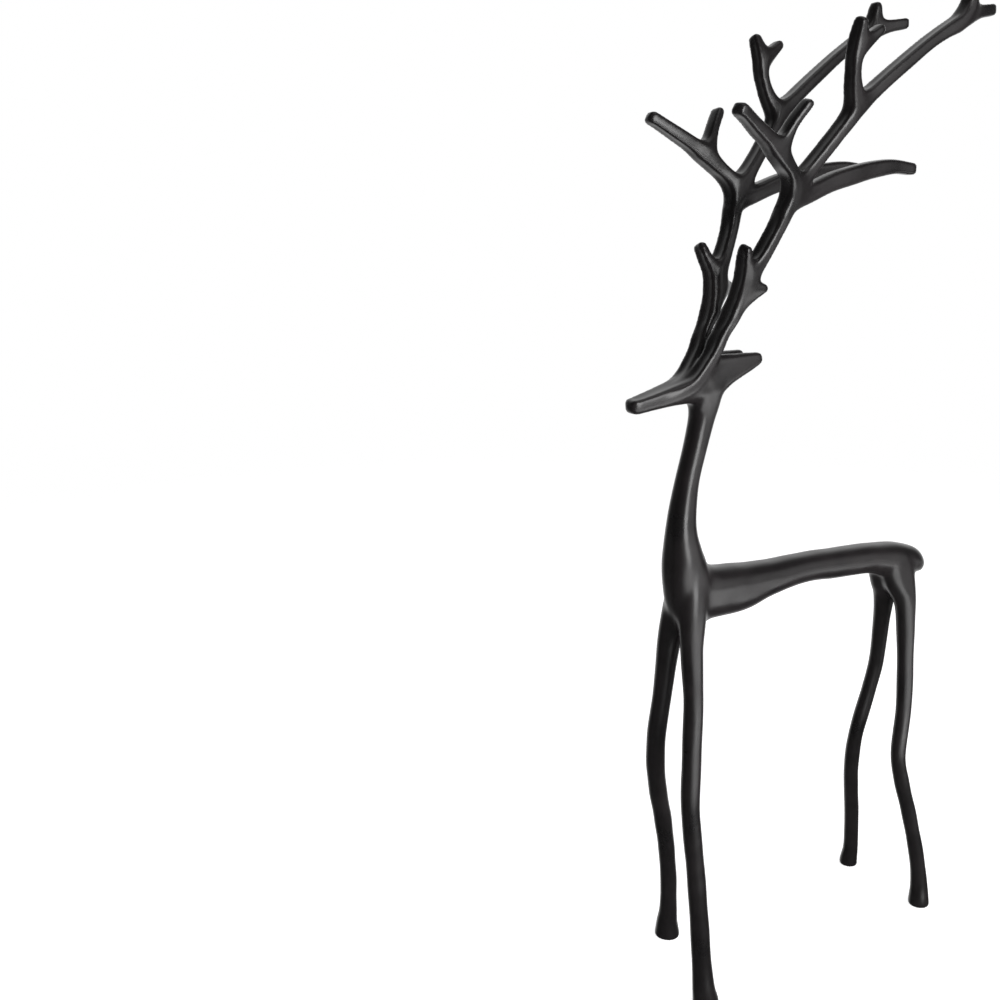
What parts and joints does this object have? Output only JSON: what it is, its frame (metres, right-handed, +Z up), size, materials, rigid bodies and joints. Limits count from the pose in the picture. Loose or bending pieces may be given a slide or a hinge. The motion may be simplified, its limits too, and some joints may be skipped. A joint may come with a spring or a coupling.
{
  "type": "reindeer sculpture",
  "caption": "Slender standing reindeer sculpture with long hand-bent legs, a thin neck, a blunt muzzle and branching antlers swept back over its body.",
  "frame": {"origin": "centre of the bounding box at the ground, under the soles", "axes": "+Z up, -Y the way the reindeer faces, +X its left side"},
  "size_m": [0.0796, 0.2406, 0.56],
  "materials": {
    "blackened_metal": "satin black, slightly warm, over smoothly hand-finished cast metal"
  },
  "bodies": {
    "root": {"reindeer": "blackened_metal"}
  },
  "joints": []
}
